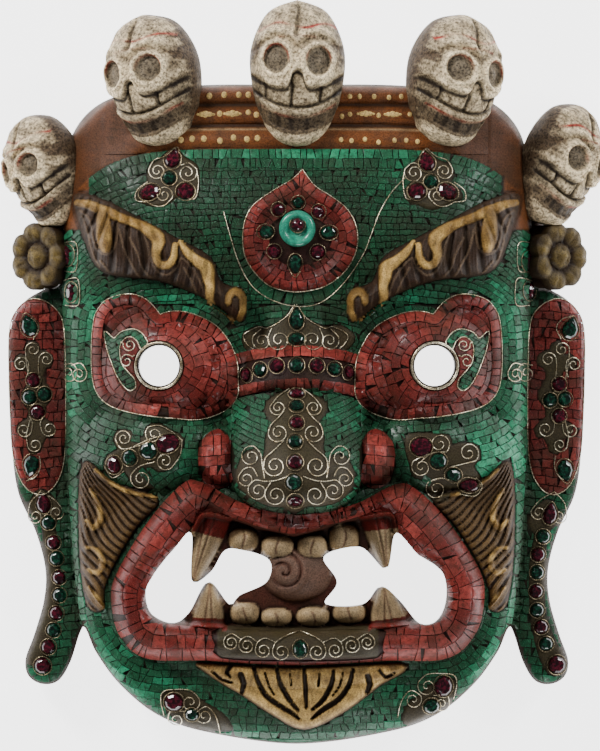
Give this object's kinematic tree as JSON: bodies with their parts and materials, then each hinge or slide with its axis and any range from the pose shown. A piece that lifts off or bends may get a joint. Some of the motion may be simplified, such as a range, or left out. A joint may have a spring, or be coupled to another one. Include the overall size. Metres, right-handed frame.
{
  "type": "tibetan cham mask",
  "caption": "Carved wooden dance mask of a wrathful protector with a skull crown, inlaid green and red stone chips, filigree and set stones, lying face up.",
  "frame": {"origin": "middle of the mask's box, on the plane of the back rim that it lies on", "axes": "+X to the viewer's right, +Y to the top of the mask, +Z out of the face"},
  "size_m": [0.401, 0.4976, 0.1631],
  "materials": {
    "inlaid_wood": "carved wood with green and red stone chips in dark resin",
    "green_stone": "polished dark green glass",
    "red_stone": "polished dark red glass",
    "turquoise": "polished turquoise",
    "brass": "aged beaded wire",
    "green_inlay": "ground green stone chips",
    "red_inlay": "ground red stone chips",
    "painted_wood": "carved wood, gold and copper paint rubbed back to brown",
    "bone_paint": "carved wood, weathered bone paint"
  },
  "bodies": {
    "root": {"carved_mask": "inlaid_wood", "stone_third_eye_1": "green_stone", "stone_third_eye_2": "red_stone", "stone_third_eye_3": "red_stone", "stone_third_eye_4": "green_stone", "stone_third_eye_5": "green_stone", "stone_third_eye_6": "red_stone", "stone_third_eye_7": "red_stone", "stone_third_eye_8": "green_stone", "stone_bridge_1": "red_stone", "stone_bridge_2": "green_stone", "stone_bridge_3": "red_stone", "stone_bridge_4": "green_stone", "stone_bridge_5": "red_stone", "stone_bridge_6": "green_stone", "stone_bridge_7": "red_stone", "stone_nose_1": "green_stone", "stone_nose_2": "green_stone", "stone_nose_3": "red_stone", "stone_nose_4": "green_stone", "stone_nose_5": "red_stone", "stone_nose_6": "green_stone", "stone_nose_7": "red_stone", "stone_nose_8": "green_stone", "stone_nose_9": "red_stone", "stone_forehead_left_1": "red_stone", "stone_forehead_left_2": "green_stone", "stone_forehead_left_3": "red_stone", "stone_forehead_left_4": "red_stone", "stone_forehead_right_1": "red_stone", "stone_forehead_right_2": "green_stone", "stone_forehead_right_3": "red_stone", "stone_forehead_right_4": "red_stone", "stone_cheek_left_1": "red_stone", "stone_cheek_left_2": "green_stone", "stone_cheek_left_3": "green_stone", "stone_cheek_left_4": "red_stone", "stone_cheek_right_1": "red_stone", "stone_cheek_right_2": "green_stone", "stone_cheek_right_3": "green_stone", "stone_cheek_right_4": "red_stone", "stone_lip_1": "green_stone", "stone_chin_1": "red_stone", "stone_chin_2": "green_stone", "stone_chin_3": "red_stone", "stone_chin_4": "green_stone", "third_eye_disc": "turquoise", "third_eye_bead": "green_stone", "eye_ring_left": "brass", "eye_ring_right": "brass"}
  },
  "joints": []
}
